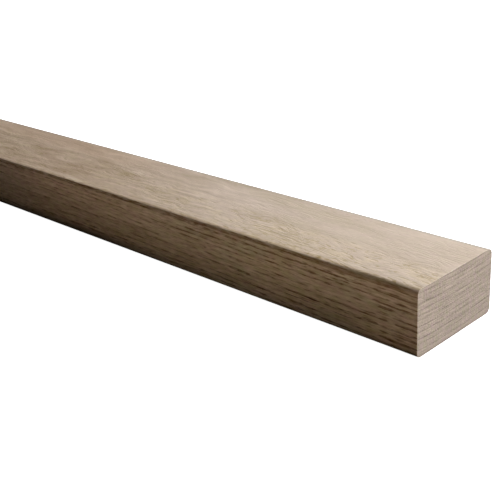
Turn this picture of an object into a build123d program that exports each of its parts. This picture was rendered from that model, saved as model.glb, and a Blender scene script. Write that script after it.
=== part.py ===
from build123d import *

import os

# A rectangular oak handrail: one planed length of solid timber, cut square at both ends.
# The rail lies along X, is wide along Y and stands its thickness along Z.
# The origin is the middle of the flat underside, halfway along the rail.

# Driving dimensions in millimetres
RAIL_LENGTH = 2400.0
RAIL_WIDTH = 60.0
RAIL_HEIGHT = 34.0
# Rounding run along all four long edges, so that no sharp corner meets the hand
EDGE_RADIUS = 3.0


def planed_section():
    """The section across the rail, with its underside on the ground line."""
    blank = Rectangle(RAIL_WIDTH, RAIL_HEIGHT, align=(Align.CENTER, Align.MIN))
    return fillet(blank.vertices(), EDGE_RADIUS)


def handrail():
    """The section run out by half the length each way, to the two square-cut ends."""
    section_across_rail = Plane.YZ * planed_section()
    return extrude(section_across_rail, amount=RAIL_LENGTH / 2, both=True)


os.makedirs("parts", exist_ok=True)
export_step(handrail(), "parts/handrail.step")
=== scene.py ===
import math
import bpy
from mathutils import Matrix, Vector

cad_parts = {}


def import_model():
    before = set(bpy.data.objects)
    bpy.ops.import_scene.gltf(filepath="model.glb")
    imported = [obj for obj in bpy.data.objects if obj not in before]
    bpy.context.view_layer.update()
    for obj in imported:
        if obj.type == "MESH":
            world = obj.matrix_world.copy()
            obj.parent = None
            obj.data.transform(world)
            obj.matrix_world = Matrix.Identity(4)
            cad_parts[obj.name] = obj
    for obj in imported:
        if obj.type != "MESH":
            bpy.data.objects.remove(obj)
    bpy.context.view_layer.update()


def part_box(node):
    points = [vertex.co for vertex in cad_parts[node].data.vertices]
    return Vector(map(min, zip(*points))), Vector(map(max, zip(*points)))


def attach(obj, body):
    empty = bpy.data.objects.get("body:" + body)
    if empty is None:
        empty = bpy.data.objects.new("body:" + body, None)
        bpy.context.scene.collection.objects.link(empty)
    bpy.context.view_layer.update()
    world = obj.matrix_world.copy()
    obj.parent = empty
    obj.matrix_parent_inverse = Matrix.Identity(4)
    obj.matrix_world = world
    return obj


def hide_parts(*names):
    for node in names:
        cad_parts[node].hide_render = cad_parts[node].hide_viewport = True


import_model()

from types import SimpleNamespace

import bmesh
import bpy
from mathutils import Matrix, Vector

# Sizes in metres, read from the frame
LOW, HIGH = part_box("handrail")
LENGTH = HIGH[0] - LOW[0]
WIDTH = HIGH[1] - LOW[1]
HEIGHT = HIGH[2] - LOW[2]
RIGHT_END = HIGH[0]
END_MIDDLE = Vector((RIGHT_END, 0.0, HEIGHT / 2))

# The timber's own sizes in metres
EDGE_RADIUS = 0.003
ARRIS = 0.00015

# The mesh: the facets and the profile of a rounding, and in metres how long and how broad faces are
EDGE_FACETS = 12
CIRCLE_PROFILE = 0.5
FACE_STEP = 0.0006
STEPS_FROM_AN_END = (0.0006, 0.0015, 0.003, 0.006, 0.012, 0.03, 0.07, 0.15)
LONG_STEP = 0.1
SAME_LENGTH = 1e-5
SMOOTH_DEGREES = 30.0

# The flat map of the surface: its edge, the strip of long faces, and the two saw cuts under it
MAP_NAME = "OFBake"
EDGE = 0.002
STRIP = (0.205, 0.998)
CUT_LEFT = 0.005
CUT_APART = 0.345
CUT_LOW = 0.005
CUT_SCALE = 0.185 / HEIGHT
FACES_AN_END = 0.5
SECTION_DIGITS = 6

# Camera, fitted to the edges of the rail in the photograph: metres from its end, degrees and pixels
CAMERA_FROM_END = (0.21581, -0.33932, 0.21316)
CAMERA_TURN = 45.806
CAMERA_DOWN = 22.756
CAMERA_ROLL = -3.483
SENSOR = 36.0
PHOTO_WIDTH = 500
FOCAL_PIXELS = 951.02
NEAREST = 0.01

# Lamps: name, place and aim from the middle of the sawn end, size, watts, colour
LAMPS = (
    ("window_low", (-0.6, 1.1, 0.35), (-0.1, 0.0, 0.0), (1.2, 0.5), 4.96, (0.96, 0.95, 1.0)),
    ("window", (0.4, 0.65, 0.68), (-0.05, 0.0, 0.0), (0.5, 0.5), 9.6, (0.94, 0.96, 1.0)),
    ("overhead", (0.0, 0.15, 0.45), (-0.03, 0.0, 0.0), (0.35, 0.35), 0.4, (1.0, 1.0, 0.92)),
    ("end_light", (0.9, 0.18, 0.25), (0.0, 0.0, 0.0), (0.4, 0.4), 8.4, (0.96, 0.98, 1.0)),
    ("front_fill", (0.0, -0.7, 0.05), (-0.05, 0.0, 0.0), (0.4, 0.3), 0.25, (1.0, 0.96, 0.9)),
)
# Lamps for the rest of the rail, each shining straight ahead only: as above
LONG_LAMPS = (
    ("long_top", (-1.42, 0.0, 0.5), (-1.42, 0.0, 0.0), (1.64, 0.4), 0.75, (0.97, 0.98, 1.0)),
    ("long_front", (-1.42, -0.6, 0.35), (-1.42, 0.0, 0.0), (1.64, 0.3), 0.8, (1.0, 0.96, 0.92)),
    ("long_back", (-1.42, 0.6, 0.35), (-1.42, 0.0, 0.0), (1.64, 0.3), 0.8, (0.97, 0.98, 1.0)),
    ("far_end", (-3.2, 0.0, 0.3), (-2.4, 0.0, 0.0), (0.4, 0.4), 2.0, (0.96, 0.98, 1.0)),
)
SPREAD_DEGREES = 65.0
# Patches of the floor that throw light up: name, place from the sawn end, size, watts, colour
FLOOR_PATCHES = (
    ("near_floor", (-0.15, -0.33), (0.6, 0.45), 0.41, (1.0, 0.84, 0.72)),
    ("foot_floor", (-0.05, -0.1325), (0.5, 0.135), 0.12, (1.0, 0.78, 0.48)),
    ("corner_floor", (0.03, -0.06), (0.12, 0.05), 0.0036, (1.0, 0.8, 0.6)),
)
PATCH_HEIGHT = 0.001

# The floor: how wide it is, how far under the rail, how much light it throws back, and how dull it is
FLOOR_SIZE = 60.0
FLOOR_GAP = 0.0001
FLOOR_WHITE = (0.9, 0.9, 0.9, 1.0)
FLOOR_DULL = 0.9
WHITE = (1.0, 1.0, 1.0, 1.0)

# Colours of the oak, as the share of red, green and blue that it throws back
BOARD = (0.55, 0.430, 0.300, 1.0)
PINK = (0.565, 0.437, 0.325, 1.0)
ROSE = (0.585, 0.432, 0.308, 1.0)
PALE = (0.575, 0.452, 0.335, 1.0)
OLIVE = (0.525, 0.44, 0.31, 1.0)
# a painted warm shade for the foot of the near side
FOOT_SHADE_BROWN = (0.58, 0.37, 0.195, 1.0)
STRAW = (0.43, 0.312, 0.17, 1.0)
CREAM = (0.60, 0.47, 0.30, 1.0)
# painted grey shade for the far upper rounding
RIM_SHADE_GREY = (0.56, 0.50, 0.44, 1.0)
# painted shade for the dark line along the upper roundings
RIM_SHADE = (0.22, 0.12, 0.035, 1.0)
DARK = (0.15, 0.07, 0.012, 1.0)
CUT = (0.395, 0.315, 0.252)
# Colours that are laid over the oak by a share
# a painted cooler light on the upper near side
COOL_LIGHT_TINT = (0.0, 0.0, 0.014)
BLUSH = (0.15, 0.0, 0.17)
LIGHTER = (0.53, 0.485, 0.435)

# The oak in millimetres: along from the right end, across from the middle, up from the underside
MM = 1000.0
HALF_LENGTH = LENGTH * MM / 2
HALF_HEIGHT = HEIGHT * MM / 2

# Features of the wood: how long, broad and high one is, where the pattern starts, and how fine it is
FEATURES = {
    "sway": {"size": (90.0, 40.0, 40.0), "detail": 1.0},
    "curl": {"size": (26.0, 12.0, 12.0), "detail": 1.0},
    "wander": {"size": (260.0, 200.0, 200.0)},
    "fibre": {"size": (8.0, 0.95, 0.95), "detail": 4.0, "roughness": 0.65},
    "crowd": {"size": (60.0, 9.0, 9.0)},
    "run": {"size": (20.0, 1.4, 1.0)},
    "dab": {"size": (6.0, 1.1, 0.85), "start": (3.0, 0.0, 0.0)},
    "seam": {"size": (50.0, 3.0, 3.0)},
    "mottle": {"size": (2.4, 1.6, 1.6)},
    "streak": {"size": (24.0, 1.7, 1.7)},
    "band": {"size": (36.0, 4.0, 4.0), "start": (0.0, 3.0, 0.0)},
    "patch": {"size": (60.0, 16.0, 16.0), "start": (7.0, 0.0, 0.0)},
    "tint": {"size": (24.0, 9.0, 9.0), "start": (5.0, 0.0, 0.0)},
    "blush": {"size": (6.0, 2.8, 2.8), "start": (9.0, 0.0, 0.0)},
    "blotch": {"size": (9.0, 4.0, 4.0), "start": (11.0, 0.0, 0.0)},
    "figure": {"size": (12.0, 2.2, 4.0)},
    "layer": {"size": (30.0, 14.0, 0.5), "detail": 3.0},
    "ray": {"size": (40.0, 0.6, 8.0)},
    "speck": {"size": (4.0, 0.6, 0.6)},
    "cut_blush": {"size": (6.0, 2.8, 2.8)},
}

# How the grain runs: its swing, its curl on the top, its rise along the rail, and how features lean
SWING = 2.0
CURL = 9.0
GRAIN_RISE = 0.012
FIBRE_LEAN = 0.04
RUN_LEAN = 0.03
DAB_LEAN = 0.06
FIGURE_TURN = (0.77, 0.64)

# The growth rings: their rise along the rail, their bow, how uneven they are, and how far apart
RING_RISE = 0.023
RING_BOW = 0.0015
BOW_MIDDLE = 5.0
RING_WANDER = 3.0
RING_SWAY = 0.8
RING_APART = 2.75
RING_CROWDING = 1.1
CROWDING_LENGTH = 5.0
EARLY_STARTS = (0.0, 0.12)
EARLY_ENDS = (0.55, 0.25)
CUT_LINE_ENDS = (0.34, 0.16)

# Parts of the rail. Each goes softly from 0 at its first place to 1 at its second
FLANK = (28.2, 29.3)
SHOWN = (-520.0, -400.0)
FRONT = (10.0, -10.0)
NEAR_END = (-70.0, -5.0)
LAST_STRETCH = (-80.0, -30.0)
FAR_ALONG = (-90.0, -160.0)
NEAR_STRIP = (-3.0, -16.0)
STRIP_LEAN = 0.06
MID_SIDE = (9.0, 3.0)
LOW_SIDE = (15.0, 2.0)
UPPER_SIDE = (12.0, 26.0)
SAW_CUT = (HALF_LENGTH - 0.1, HALF_LENGTH - 0.04)
ROSE_SPAN = (-100.0, -330.0)
PALE_SPAN = (-90.0, -10.0)
OLIVE_SPAN = (-220.0, -90.0)
# painted shade at the foot of the near side, where the floor would shade it
SHADED_HEIGHT = (8.0, 1.5)
SHADED_SPAN = (-110.0, -260.0)
# a stretch of painted light on the near side
LIT_BAND_STARTS = (-20.0, -90.0)
LIT_BAND_ENDS = (-260.0, -140.0)
LIT_BAND_HEIGHT = (26.0, 20.0)
# a patch of painted shade on the top beside the near edge, close to the right end
DIMMED_SPAN = (-50.0, -20.0)
DIMMED_WIDTH = (-16.0, -25.0)
# a patch of painted light on the far half of the top, further along
LIGHT_SPAN = (-200.0, -270.0)
LIGHT_WIDTH = (6.0, 14.0)

# The painted warm shade at the foot of the near side: where it starts near the right end and further along,
# and where it is full
FOOT_STARTS = (17.0, 22.0)
FOOT_FULL = 2.0

# The edges: the steep part of the roundings, lower close to the right end, and what lies along them: nicks,
# painted shade and a painted highlight
RIM_OUT = (28.6, 29.1)
RIM_OUT_AT_END = (28.9, 29.5)
RIM_UP = (31.5, 32.3)
RIM_UP_AT_END = (30.2, 31.2)
NICK_OUT = (26.9, 28.4)
NICK_UP = (31.0, 32.0)
CLEAN_UP = (30.5, 32.0)
# a painted highlight on the lip of the upper roundings
HIGHLIGHT_IN = (26.8, 27.8)
HIGHLIGHT_OUT = (28.9, 28.6)
HIGHLIGHT_UP = (31.0, 33.0)
# painted grey shade on the far upper rounding
FAR_RIM_OUT = (25.5, 28.0)
FAR_RIM_UP = (33.0, 33.5)
SKIRT_FAR = (28.3, 29.6)
SKIRT_TOP = (32.6, 33.8)
SKIRT_FOOT = (1.6, 0.4)

# The share of the blush on the top and on the sides
BLUSH_SHARE = (0.3, 1.0)

# How strong the painted shade line and the painted highlight beside it are: along the rail, and at its
# right end
RIM_SHADE_AT_END = (1.0, 0.8)
HIGHLIGHT_AT_END = (1.0, 0.1)

# Where a feature starts to show as a mark, and where it shows in full
PORE_SHOWS = (0.09, 0.42)
FLECK_SHOWS = (0.03, 0.30)
SEAM_SHOWS = (-0.12, 0.15)
HATCH_SHOWS = (0.02, 0.20)
PINK_SHOWS = (-0.12, 0.12)
OLIVE_SHOWS = (0.0, 0.16)
BLOTCH_SHOWS = (0.0, 0.16)

# What thickens the pores and thins them, and what each kind of mark is made of
THICKNESS = 0.03
THICKER_EARLY = 0.24
THICKER_CROWD = 0.24
THICKER_AT_END = 0.04
THINNER_MID_SIDE = 0.11
DAB_IN_PORE = 1.1
FIBRE_IN_FLECK = 0.6
THICK_IN_FLECK = 0.4
MOTTLE_IN_HATCH = 0.7
FIBRE_IN_HATCH = 0.3

# Shares of the colours. A pair is the share near the right end and the share further along
# painted warm shade at the foot of the near side
FOOT_SHADE_SHARE = 0.38
# painted cooler light on the upper near side
COOL_LIGHT_SIDE = (0.5, 1.0)
CREAM_BLOTCH = 0.6
HATCH_MARK = (0.06, 0.12)
SHARP_HATCH = 0.80
TOP_PORE = 0.28
SIDE_MARKS = (1.0, 0.75)
PORE_MARK = 0.49
FLECK_MARK = 0.34
SEAM_MARK = 0.22
NICK_MARK = 0.5
NICKS = (1.0, 0.4)
CLEAN = 0.75
# painted shade in the dark line along the upper roundings, everywhere and more on the near side
RIM_SHADE_SHARE = 0.12
RIM_SHADE_SEEN = 0.40
# painted grey shade on the far upper rounding
RIM_SHADE_GREY_SHARE = 0.7

# Tones. A pair is the strength near the right end and the strength further along
SHARP_TONE = (1.0, 0.34)
SHARPER_AT_END = 0.4
SIDE_FIBRE = 1.5
SIDE_STREAK = (0.6, 0.7)
TOP_MOTTLE = (0.22, 0.04)
TOP_STREAK = (0.12, 0.30)
TOP_BAND = (0.26, 0.62)
STRIP_BAND = 0.36
TOP_FIBRE = (0.18, 0.12)
SHARP_FIBRE = 0.78
TOP_PATCH = 0.32
TOP_FIGURE = (0.06, 0.18)

# Painted light: how much lighter a part of the rail is than the rest; below 0 it is darker, as painted
# shade
SIDE_LIGHT = (0.06, -0.08)
LIT_BAND_LIGHT = 0.16
LOW_LIGHT = 0.06
END_LIGHT = -0.12
MID_SIDE_LIGHT = -0.07
TOP_LIGHT = 0.03
STRIP_LIGHT = (0.03, 0.0)
DIMMED_LIGHT = -0.09
PATCH_LIGHT = 0.12
# painted highlight on the lip beside the dark line, everywhere and more on the near side
HIGHLIGHT_LIGHT = 0.06
HIGHLIGHT_SEEN = 0.30
# painted shade that darkens the far upper rounding
FAR_RIM_LIGHT = -0.38
SHADED_LIGHT = -0.6

# The saw cuts: how much each feature lightens them
CUT_LINE = -0.26
CUT_LAYER = 1.2
CUT_RAY = 0.5
CUT_SPECK = 0.9
CUT_PATCH = 0.2
CUT_SKIRT = -0.08
CUT_BLUSH = 0.7

# The skin of the wood: depths of its marks against a fibre, depth of the whole in metres, and its dullness
FIBRE_DEPTH = 0.3
MARK_DEPTH = 0.8
SKIN_DEPTH = 0.0001
BUMP_STRENGTH = 0.5
DULLNESS = 0.5
DULLER_FIBRE = 0.1
DULLER_RIM = 0.45


class Wire:
    """A socket of a shader tree. A sum written on it adds the Math nodes that work it out."""

    def __init__(self, tree, socket):
        self.tree = tree
        self.socket = socket

    def node(self, kind, settings, sockets):
        """Adds a node, sets it up, then gives its sockets their values or links."""
        made = self.tree.nodes.new(kind)
        for name, value in settings.items():
            setattr(made, name, value)
        for name, value in sockets.items():
            if isinstance(value, Wire):
                self.tree.links.new(value.socket, made.inputs[name])
            else:
                made.inputs[name].default_value = value
        return made

    def out(self, made, name=0):
        """One output of a node, as a wire."""
        return Wire(self.tree, made.outputs[name])

    def math(self, operation, *operands):
        """One sum on wires and numbers."""
        return self.out(self.node("ShaderNodeMath", {"operation": operation}, dict(enumerate(operands))))

    def __add__(self, other):
        return self.math("ADD", self, other)

    __radd__ = __add__

    def __sub__(self, other):
        return self.math("SUBTRACT", self, other)

    def __rsub__(self, other):
        return self.math("SUBTRACT", other, self)

    def __mul__(self, other):
        return self.math("MULTIPLY", self, other)

    __rmul__ = __mul__

    def __truediv__(self, other):
        return self.math("DIVIDE", self, other)

    def __pow__(self, other):
        return self.math("POWER", self, other)

    def __mod__(self, other):
        return self.math("FLOORED_MODULO", self, other)

    def __abs__(self):
        return self.math("ABSOLUTE", self)


def step(value, low, high):
    """A smooth rise from 0 at low to 1 at high; it falls where low is above high."""
    sockets = {"Value": value, "From Min": low, "From Max": high}
    return value.out(value.node("ShaderNodeMapRange", {"interpolation_type": "SMOOTHSTEP"}, sockets))


def vary(share, first, last):
    """A number that goes from first, where the share is 0, to last, where it is 1."""
    return first + (last - first) * share


def sliding(value, share, first, last):
    """A step whose span goes from first, where the share is 0, to last, where it is 1."""
    low, high = (vary(share, *ends) for ends in zip(first, last))
    return step(value, low, high)


def point(x, y, z):
    """Three wires as one place."""
    return x.out(x.node("ShaderNodeCombineXYZ", {}, {"X": x, "Y": y, "Z": z}))


def noise(place, size, start=(0.0, 0.0, 0.0), detail=2.0, roughness=0.5):
    """Soft noise about 0, from -0.5 to 0.5, with features of one size."""
    counted = {0: place, 1: [1.0 / side for side in size], 2: start}
    cell = place.out(place.node("ShaderNodeVectorMath", {"operation": "MULTIPLY_ADD"}, counted))
    sockets = {"Vector": cell, "Scale": 1.0, "Detail": detail, "Roughness": roughness}
    return place.out(place.node("ShaderNodeTexNoise", {}, sockets), "Fac") - 0.5


def feature(place, name):
    """One feature of the wood at a place."""
    return noise(place, **FEATURES[name])


def sway(value):
    """Soft noise along one line, about 0, with a feature to each unit."""
    sockets = {"W": value, "Scale": 1.0, "Detail": 1.0}
    return value.out(value.node("ShaderNodeTexNoise", {"noise_dimensions": "1D"}, sockets), "Fac") - 0.5


def mixed(share, low, high):
    """Two colours mixed by share."""
    made = share.node("ShaderNodeMix", {"data_type": "RGBA"}, {"Factor": share, 6: low, 7: high})
    return share.out(made, 2)


def scaled(colour, value):
    """A colour made darker or lighter."""
    made = value.node("ShaderNodeVectorMath", {"operation": "SCALE"}, {"Vector": colour, "Scale": value})
    return value.out(made, "Vector")


def added(colour, other, value):
    """A colour with a share of another laid over it; a share below 0 takes it away."""
    both = {0: colour, 1: scaled(other, value)}
    return value.out(value.node("ShaderNodeVectorMath", {"operation": "ADD"}, both), "Vector")


def oak():
    """Flat-sawn oak, one block of rings, pores and rays, so that its faces agree where they meet."""
    material = bpy.data.materials.new("sawn_oak")
    material.use_nodes = True
    tree = material.node_tree
    tree.nodes.clear()
    start = Wire(tree, None)
    wood = block_of_wood(start)
    saw_cut = step(abs(wood.along + HALF_LENGTH), *SAW_CUT)
    height = FIBRE_DEPTH * wood.fibre - MARK_DEPTH * wood.pore - MARK_DEPTH * wood.fleck
    relief = {"Strength": BUMP_STRENGTH, "Distance": 1.0, "Height": height * SKIN_DEPTH}
    bump = start.node("ShaderNodeBump", {}, relief)
    skin = start.node(
        "ShaderNodeBsdfPrincipled",
        {},
        {
            "Base Color": mixed(saw_cut, planed(wood), sawn(wood)),
            "Roughness": DULLNESS + DULLER_FIBRE * wood.fibre + DULLER_RIM * wood.rim,
            "Normal": start.out(bump, "Normal"),
        },
    )
    start.node("ShaderNodeOutputMaterial", {}, {"Surface": start.out(skin, "BSDF")})
    return material


def block_of_wood(start):
    """What there is to know of the wood at a point, from its place in the object's own space."""
    place = start.out(start.node("ShaderNodeTexCoord", {}, {}), "Object")
    split = start.node("ShaderNodeSeparateXYZ", {}, {"Vector": place})
    along = (start.out(split, "X") - RIGHT_END) * MM
    across = start.out(split, "Y") * MM
    up = start.out(split, "Z") * MM
    wood = SimpleNamespace(along=along, across=across, up=up, place=point(along, across, up))
    find_parts(wood)
    run_grain(wood)
    grow_rings(wood)
    open_pores(wood)
    return wood


def find_parts(wood):
    """Tells the faces and the stretches of the rail apart."""
    wood.flank = step(abs(wood.across), *FLANK)
    wood.top = 1.0 - wood.flank
    wood.shown = step(wood.along, *SHOWN)
    wood.seen = wood.shown * step(wood.across, *FRONT)
    wood.near_end = step(wood.along, *NEAR_END)
    wood.last_stretch = step(wood.along, *LAST_STRETCH)
    wood.far_along = step(wood.along, *FAR_ALONG)
    wood.near_strip = step(wood.across + STRIP_LEAN * wood.along, *NEAR_STRIP)
    wood.mid_side = step(abs(wood.up - HALF_HEIGHT), *MID_SIDE)
    wood.low = wood.seen * step(wood.up, *LOW_SIDE)
    wood.sharp = wood.near_strip * (vary(wood.far_along, *SHARP_TONE) + SHARPER_AT_END * wood.near_end)
    outer = sliding(abs(wood.across), wood.last_stretch, RIM_OUT, RIM_OUT_AT_END)
    wood.rim = outer * sliding(wood.up, wood.last_stretch, RIM_UP, RIM_UP_AT_END)
    wood.far_rim = step(wood.across, *FAR_RIM_OUT) * step(wood.up, *FAR_RIM_UP) * wood.shown


def run_grain(wood):
    """Lays the lines of the grain, which swing everywhere and curl on the top, and the soft tones of it."""
    wood.sway = feature(wood.place, "sway")
    curl = feature(wood.place, "curl")
    wood.row = wood.across + SWING * wood.sway + CURL * curl * wood.top
    wood.grain = wood.up + SWING * wood.sway + GRAIN_RISE * wood.along
    wood.line = point(wood.along, wood.row, wood.grain)
    wood.fibre = feature(leaning(wood, FIBRE_LEAN), "fibre")
    wood.mottle = feature(wood.place, "mottle")
    wood.streak = feature(wood.line, "streak")
    wood.band = feature(wood.line, "band")
    wood.patch = feature(wood.place, "patch")


def leaning(wood, slope):
    """A place among the lines of the grain, for a feature that leans across them."""
    return point(wood.along, wood.row + slope * wood.along, wood.grain)


def grow_rings(wood):
    """The height of a place among the growth rings, and how far it is from one ring to the next."""
    bow = RING_BOW * (wood.across - BOW_MIDDLE) ** 2.0
    uneven = RING_WANDER * feature(wood.place, "wander") + RING_SWAY * wood.sway
    wood.level = wood.up + RING_RISE * wood.along - bow + uneven
    crowding = RING_CROWDING * sway(wood.level / CROWDING_LENGTH)
    wood.ring = (wood.level / RING_APART + crowding) % 1.0
    wood.early = step(wood.ring, *EARLY_ENDS) * step(wood.ring, *EARLY_STARTS)


def open_pores(wood):
    """The marks of the grain: long pores, short flecks, seams in the early wood, and fine hatching."""
    crowd = feature(wood.line, "crowd")
    run = feature(leaning(wood, RUN_LEAN), "run")
    dab = feature(leaning(wood, DAB_LEAN), "dab")
    thick = THICKER_EARLY * wood.early + THICKER_CROWD * crowd + THICKER_AT_END * wood.near_end
    thick = thick - THINNER_MID_SIDE * wood.mid_side * (1.0 - wood.near_end) + THICKNESS
    wood.pore = step(run + DAB_IN_PORE * dab + thick, *PORE_SHOWS)
    wood.fleck = step(dab + FIBRE_IN_FLECK * wood.fibre + THICK_IN_FLECK * thick, *FLECK_SHOWS)
    wood.seam = wood.early * step(feature(wood.line, "seam"), *SEAM_SHOWS)
    wood.hatch = step(dab + MOTTLE_IN_HATCH * wood.mottle + FIBRE_IN_HATCH * wood.fibre, *HATCH_SHOWS)


def planed(wood):
    """The colour of the four planed faces, with painted light and shade laid over it."""
    face = rimmed(wood, marked(wood, tinted(wood)))
    face = added(face, LIGHTER, tone(wood))
    return scaled(face, 1.0 + painted_light_of_side(wood) + painted_light_of_top(wood) + painted_light_of_edges(wood))


def tinted(wood):
    """The colour of the wood under its marks, with a painted warm shade at the foot of the near side and a
    painted cooler light on its upper part.
    """
    face = mixed(step(wood.patch, *PINK_SHOWS), BOARD, PINK)
    face = mixed(step(wood.along, *ROSE_SPAN), face, ROSE)
    face = mixed(wood.top * step(wood.along, *PALE_SPAN), face, PALE)
    olive = step(feature(wood.place, "tint"), *OLIVE_SHOWS) * step(wood.along, *OLIVE_SPAN)
    face = mixed(wood.flank * olive, face, OLIVE)
    # painted warm shade at the foot of the near side
    foot_shade = wood.seen * step(wood.up, vary(wood.far_along, *FOOT_STARTS), FOOT_FULL)
    face = mixed(FOOT_SHADE_SHARE * wood.flank * foot_shade, face, FOOT_SHADE_BROWN)
    # painted cooler light on the upper near side
    cool_light = vary(wood.far_along, *COOL_LIGHT_SIDE) * step(wood.up, *UPPER_SIDE)
    face = added(face, COOL_LIGHT_TINT, wood.flank * wood.seen * cool_light)
    face = added(face, BLUSH, vary(wood.flank, *BLUSH_SHARE) * feature(wood.place, "blush"))
    blotch = wood.top * wood.near_strip * step(feature(wood.place, "blotch"), *BLOTCH_SHOWS)
    return mixed(CREAM_BLOTCH * blotch, face, CREAM)


def marked(wood, face):
    """The wood with its marks: straw ones on the top, dark ones on the sides and nicks on the roundings."""
    hatch = (vary(wood.far_along, *HATCH_MARK) + SHARP_HATCH * wood.sharp) * wood.hatch
    face = mixed(wood.top * (hatch + TOP_PORE * wood.near_strip * wood.pore), face, STRAW)
    marks = PORE_MARK * wood.pore + FLECK_MARK * wood.fleck + SEAM_MARK * wood.seam
    marks = wood.flank * vary(wood.far_along, *SIDE_MARKS) * marks
    nick = step(abs(wood.across), *NICK_OUT) * step(wood.up, *NICK_UP) * wood.fleck
    marks = marks + NICK_MARK * vary(wood.far_along, *NICKS) * nick
    clean = CLEAN * wood.last_stretch * step(wood.up, *CLEAN_UP)
    return mixed(marks * (1.0 - clean), face, DARK)


def rimmed(wood, face):
    """Painted shade: the darker line along the upper roundings, and the greyer far rim."""
    shade_line = RIM_SHADE_SHARE + RIM_SHADE_SEEN * wood.seen * vary(wood.near_end, *RIM_SHADE_AT_END)
    face = mixed(shade_line * wood.rim, face, RIM_SHADE)
    return mixed(RIM_SHADE_GREY_SHARE * wood.far_rim, face, RIM_SHADE_GREY)


def tone(wood):
    """How much lighter or darker the grain makes each place."""
    far = wood.far_along
    side = SIDE_FIBRE * wood.fibre + vary(far, *SIDE_STREAK) * wood.streak
    soft = vary(far, *TOP_MOTTLE) * wood.mottle + vary(far, *TOP_STREAK) * wood.streak
    soft = soft + (vary(far, *TOP_BAND) + STRIP_BAND * wood.near_strip * far) * wood.band
    fine = (vary(far, *TOP_FIBRE) + SHARP_FIBRE * wood.sharp) * wood.fibre
    ahead, aside = FIGURE_TURN
    turned_along = ahead * wood.along - aside * wood.across
    turned_across = aside * wood.along + ahead * wood.across
    figure = vary(far, *TOP_FIGURE) * feature(point(turned_along, turned_across, wood.up), "figure")
    return wood.flank * side + wood.top * (fine + soft + TOP_PATCH * wood.patch + figure)


def painted_light_of_side(wood):
    """Painted light and shade on the near side: how much lighter or darker its parts are, with painted
    shade at its foot.
    """
    # a stretch of painted light on the near side
    lit_band = step(wood.along, *LIT_BAND_STARTS) * step(wood.along, *LIT_BAND_ENDS) * step(wood.up, *LIT_BAND_HEIGHT)
    light = vary(wood.far_along, *SIDE_LIGHT) + LIT_BAND_LIGHT * lit_band + LOW_LIGHT * wood.low
    light = light + END_LIGHT * wood.near_end * (1.0 - wood.low)
    light = light + MID_SIDE_LIGHT * wood.mid_side * (1.0 - wood.near_end)
    # painted shade at the foot of the near side
    shaded = step(wood.up, *SHADED_HEIGHT) * step(wood.along, *SHADED_SPAN)
    return wood.flank * wood.seen * (light + SHADED_LIGHT * shaded)


def painted_light_of_top(wood):
    """Painted light and shade on the top: how much lighter or darker its parts are."""
    light = TOP_LIGHT + vary(wood.far_along, *STRIP_LIGHT) * wood.near_strip
    light = light + DIMMED_LIGHT * step(wood.along, *DIMMED_SPAN) * step(wood.across, *DIMMED_WIDTH)
    light = light + PATCH_LIGHT * step(wood.across, *LIGHT_WIDTH) * step(wood.along, *LIGHT_SPAN)
    return wood.top * wood.shown * light


def painted_light_of_edges(wood):
    """A painted highlight on the lip beside the dark line, and painted shade that makes the far rim darker.
    """
    highlight = step(abs(wood.across), *HIGHLIGHT_IN) * step(abs(wood.across), *HIGHLIGHT_OUT) * step(wood.up, *HIGHLIGHT_UP)
    light = HIGHLIGHT_LIGHT + HIGHLIGHT_SEEN * wood.seen * vary(wood.near_end, *HIGHLIGHT_AT_END)
    return light * highlight + FAR_RIM_LIGHT * wood.far_rim


def sawn(wood):
    """The colour of the two saw cuts: rings edge on, crossed by rays."""
    line = step(wood.ring, *CUT_LINE_ENDS) * step(wood.ring, *EARLY_STARTS)
    layered = point(wood.along, wood.across, wood.level)
    rings = CUT_LINE * line + CUT_LAYER * feature(layered, "layer") + CUT_RAY * feature(layered, "ray")
    specks = CUT_SPECK * feature(wood.place, "speck") + CUT_PATCH * wood.patch
    skirt = step(wood.across, *SKIRT_FAR) + step(wood.up, *SKIRT_TOP) + step(wood.up, *SKIRT_FOOT)
    cut = scaled(CUT, 1.0 + rings + specks + CUT_SKIRT * skirt)
    return added(cut, BLUSH, CUT_BLUSH * feature(wood.place, "cut_blush"))


def select_edges(board, wanted):
    """Selects, in edit mode, the edges whose two ends pass the test."""
    mesh = bmesh.from_edit_mesh(board.data)
    bpy.ops.mesh.select_all(action="DESELECT")
    for edge in mesh.edges:
        edge.select_set(wanted(edge.verts[0].co, edge.verts[1].co))
    bmesh.update_edit_mesh(board.data)


def select_faces(board, wanted):
    """Selects, in edit mode, the faces whose middle passes the test."""
    mesh = bmesh.from_edit_mesh(board.data)
    bpy.ops.mesh.select_all(action="DESELECT")
    for face in mesh.faces:
        face.select_set(wanted(face.calc_center_median()))
    bmesh.update_edit_mesh(board.data)


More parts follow.
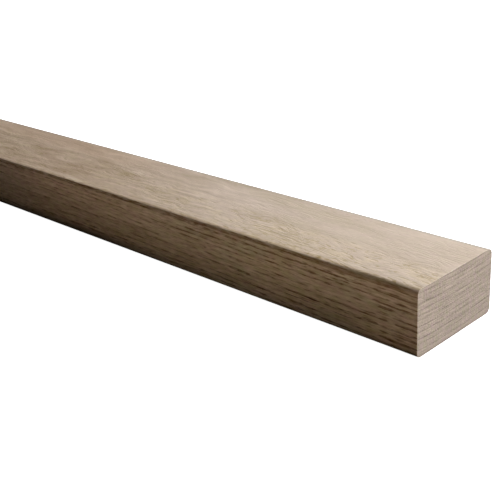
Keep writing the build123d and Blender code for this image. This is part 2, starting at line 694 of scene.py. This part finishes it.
def handrail():
    """The section drawn on the left saw cut, its corners eased, and run out to the right one."""
    board = section()
    bpy.ops.object.mode_set(mode="EDIT")
    bpy.ops.mesh.select_all(action="SELECT")
    bpy.ops.mesh.bevel(offset=EDGE_RADIUS, segments=EDGE_FACETS, affect="VERTICES", profile=CIRCLE_PROFILE)
    for flat in (WIDTH - 2 * EDGE_RADIUS, HEIGHT - 2 * EDGE_RADIUS):
        select_edges(board, lambda a, b: abs((a - b).length - flat) < SAME_LENGTH)
        bpy.ops.mesh.subdivide(number_cuts=round(flat / FACE_STEP))
    bpy.ops.mesh.select_all(action="SELECT")
    for stride in strides():
        bpy.ops.mesh.extrude_region_move(TRANSFORM_OT_translate={"value": (stride, 0.0, 0.0)})
    bpy.ops.mesh.select_all(action="SELECT")
    bpy.ops.mesh.normals_make_consistent(inside=False)
    select_faces(board, lambda middle: abs(middle.x) > LENGTH / 2 - 1.5 * ARRIS)
    bpy.ops.mesh.inset(thickness=ARRIS, depth=ARRIS)
    bpy.ops.object.mode_set(mode="OBJECT")
    bpy.ops.object.shade_smooth_by_angle(angle=math.radians(SMOOTH_DEGREES))
    flat_map(board)
    return board


def section():
    """The rectangle of the section, standing at the left saw cut."""
    bpy.ops.object.select_all(action="DESELECT")
    upright = (math.pi / 2, 0.0, math.pi / 2)
    bpy.ops.mesh.primitive_plane_add(size=1.0, location=(LOW[0] + ARRIS, 0.0, HEIGHT / 2), rotation=upright)
    board = bpy.context.object
    board.name = "oak_handrail"
    board.scale = (WIDTH, HEIGHT, 1.0)
    bpy.ops.object.transform_apply(location=True, rotation=True, scale=True)
    return board


def strides():
    """The lengths of the pushes that carry the section from one saw cut to the other."""
    near = [0.0, *STEPS_FROM_AN_END]
    middle = LENGTH - 2 * ARRIS - 2 * near[-1]
    count = round(middle / LONG_STEP)
    first = [b - a for a, b in zip(near, near[1:])]
    return first + [middle / count] * count + first[::-1]


def flat_map(board):
    """Lays the surface out flat: the four long faces as one strip, the two saw cuts under it."""
    mesh = board.data
    layer = mesh.uv_layers.new(name=MAP_NAME)
    reached, girth = outline(board)
    for face in mesh.polygons:
        corners = [mesh.vertices[index].co for index in face.vertices]
        if abs(face.normal.x) > FACES_AN_END:
            flat = [cut_place(corner, face.normal.x) for corner in corners]
        else:
            flat = strip_places(corners, reached, girth)
        for loop, place in zip(face.loop_indices, flat):
            layer.data[loop].uv = place


def outline(board):
    """How far round the section each of its corners lies, from the middle of the underside."""
    inner = LENGTH / 2 - 2 * ARRIS
    corners = {section_place(v.co) for v in board.data.vertices if abs(v.co.x) < inner}
    ring = sorted(corners, key=lambda corner: math.atan2(corner[0], corner[1] - HEIGHT / 2))
    reached = [0.0]
    for one, following in zip(ring, ring[1:] + ring[:1]):
        reached.append(reached[-1] + math.dist(one, following))
    return dict(zip(ring, reached)), reached[-1]


def section_place(corner):
    """Where a corner of the mesh lies across the rail and above its underside."""
    return round(corner.y, SECTION_DIGITS), round(corner.z, SECTION_DIGITS)


def cut_place(corner, facing):
    """The place of a saw cut's corner on the map."""
    side = math.copysign(1.0, facing)
    left = CUT_LEFT if side > 0 else CUT_LEFT + CUT_APART
    return left + (WIDTH / 2 + side * corner.y) * CUT_SCALE, CUT_LOW + corner.z * CUT_SCALE


def strip_places(corners, reached, girth):
    """The places of a long face's corners on the map's strip."""
    round_it = [reached[section_place(corner)] for corner in corners]
    last = max(round_it)
    round_it = [way + girth if last - way > girth / 2 else way for way in round_it]
    low, high = STRIP
    return [
        (EDGE + (0.5 + corner.x / LENGTH) * (1.0 - 2 * EDGE), low + way / girth * (high - low))
        for corner, way in zip(corners, round_it)
    ]


def camera():
    """A camera that sees the rail as the photograph does."""
    lens = bpy.data.cameras.new("photo_camera")
    lens.sensor_width = SENSOR
    lens.lens = SENSOR * FOCAL_PIXELS / PHOTO_WIDTH
    lens.clip_start = NEAREST
    seer = bpy.data.objects.new("photo_camera", lens)
    bpy.context.scene.collection.objects.link(seer)
    turn = Matrix.Rotation(math.radians(CAMERA_TURN), 4, "Z")
    tilt = Matrix.Rotation(math.radians(90.0 - CAMERA_DOWN), 4, "X")
    roll = Matrix.Rotation(math.radians(CAMERA_ROLL), 4, "Z")
    place = Matrix.Translation(Vector(CAMERA_FROM_END) + Vector((RIGHT_END, 0.0, 0.0)))
    seer.matrix_world = place @ turn @ tilt @ roll
    bpy.context.scene.camera = seer


def floor():
    """A plain white sweep under the rail that neither darkens nor lights it."""
    bpy.ops.mesh.primitive_plane_add(size=FLOOR_SIZE, location=(0.0, 0.0, LOW[2] - FLOOR_GAP))
    ground = bpy.context.object
    ground.name = "floor"
    material = bpy.data.materials.new("white_floor")
    material.use_nodes = True
    skin = material.node_tree.nodes["Principled BSDF"]
    skin.inputs["Base Color"].default_value = FLOOR_WHITE
    skin.inputs["Roughness"].default_value = FLOOR_DULL
    skin.inputs["Emission Color"].default_value = WHITE
    skin.inputs["Emission Strength"].default_value = 1.0
    ground.data.materials.append(material)
    ground.visible_diffuse = False
    ground.visible_glossy = False
    ground.visible_shadow = False


def lamp(name, place, size, power, colour):
    """A rectangular area lamp that the camera does not see."""
    light = bpy.data.lights.new(name, "AREA")
    light.shape = "RECTANGLE"
    light.size, light.size_y = size
    light.energy = power
    light.color = colour
    holder = bpy.data.objects.new(name, light)
    holder.location = END_MIDDLE + Vector(place)
    holder.visible_camera = False
    bpy.context.scene.collection.objects.link(holder)
    return holder


def softbox(name, place, aim, size, power, colour):
    """A lamp turned to look at a point."""
    holder = lamp(name, place, size, power, colour)
    holder.rotation_euler = (Vector(aim) - Vector(place)).to_track_quat("-Z", "Y").to_euler()
    return holder


def floor_bounce(name, place, size, power, colour):
    """The light that a patch of sunlit floor in front of the rail throws up."""
    holder = lamp(name, (*place, PATCH_HEIGHT - HEIGHT / 2), size, power, colour)
    holder.rotation_euler = (math.pi, 0.0, 0.0)


def world():
    """No light from the room, and white to the eye."""
    room = bpy.data.worlds.new("room")
    room.use_nodes = True
    tree = room.node_tree
    tree.nodes.clear()
    start = Wire(tree, None)
    seen = start.out(start.node("ShaderNodeLightPath", {}, {}), "Is Camera Ray")
    dark = start.out(start.node("ShaderNodeBackground", {}, {"Strength": 0.0}))
    white = start.out(start.node("ShaderNodeBackground", {}, {"Color": WHITE, "Strength": 1.0}))
    both = start.node("ShaderNodeMixShader", {}, {0: seen, 1: dark, 2: white})
    start.node("ShaderNodeOutputWorld", {}, {"Surface": start.out(both)})
    bpy.context.scene.world = room


rail = handrail()
rail.data.materials.append(oak())
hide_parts("handrail")
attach(rail, "root")

for settings in LAMPS:
    softbox(*settings)
for settings in LONG_LAMPS:
    softbox(*settings).data.spread = math.radians(SPREAD_DEGREES)
for settings in FLOOR_PATCHES:
    floor_bounce(*settings)
floor()
camera()
world()

bpy.context.scene.view_settings.view_transform = "Standard"
